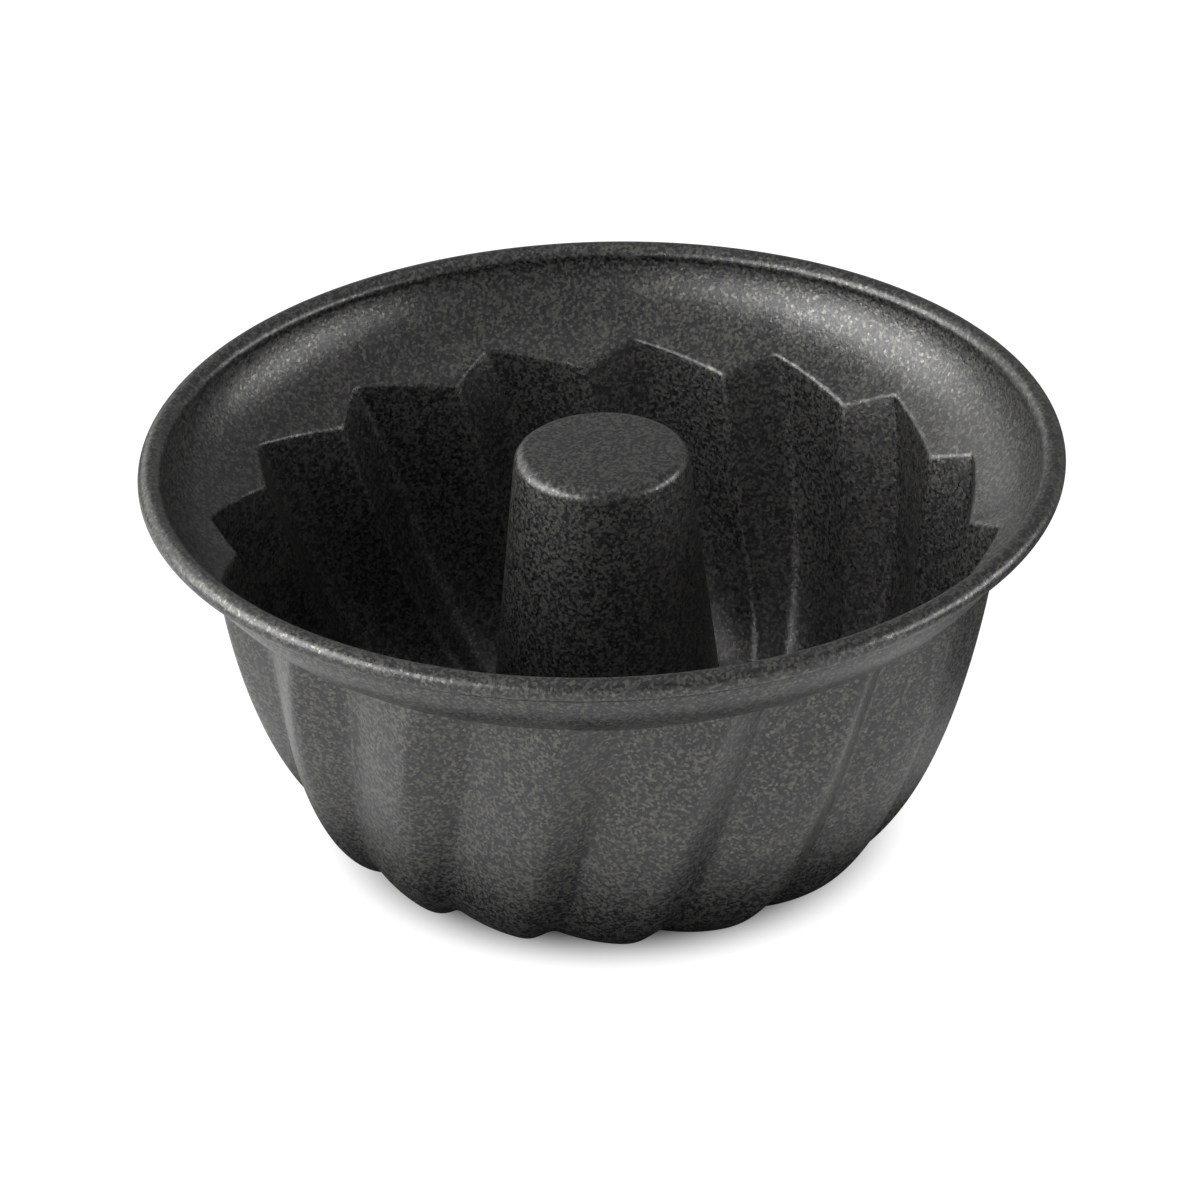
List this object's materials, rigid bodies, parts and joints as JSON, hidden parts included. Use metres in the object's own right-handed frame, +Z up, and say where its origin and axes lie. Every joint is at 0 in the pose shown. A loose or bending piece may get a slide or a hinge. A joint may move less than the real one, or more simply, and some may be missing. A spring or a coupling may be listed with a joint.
{
  "type": "bundt pan",
  "caption": "Round fluted ring cake pan: deep pressed bowl with swirled flutes, a rolled rim and a closed tapered centre tube for baking ring cakes.",
  "frame": {"origin": "centre of the pan at the height of the table it stands on", "axes": "+Z up along the pan's axis, out of its open mouth; +X through the flat of one lobe of the crown"},
  "size_m": [0.22, 0.22, 0.101],
  "materials": {
    "coated_shell": "dark grey speckled non-stick coating on steel sheet, satin",
    "coated_tube": "dark grey speckled non-stick coating on steel sheet, satin",
    "rim_steel": "plain drawn wire"
  },
  "bodies": {
    "root": {"fluted_shell": "coated_shell", "centre_tube": "coated_tube", "rim_wire": "rim_steel"}
  },
  "joints": []
}
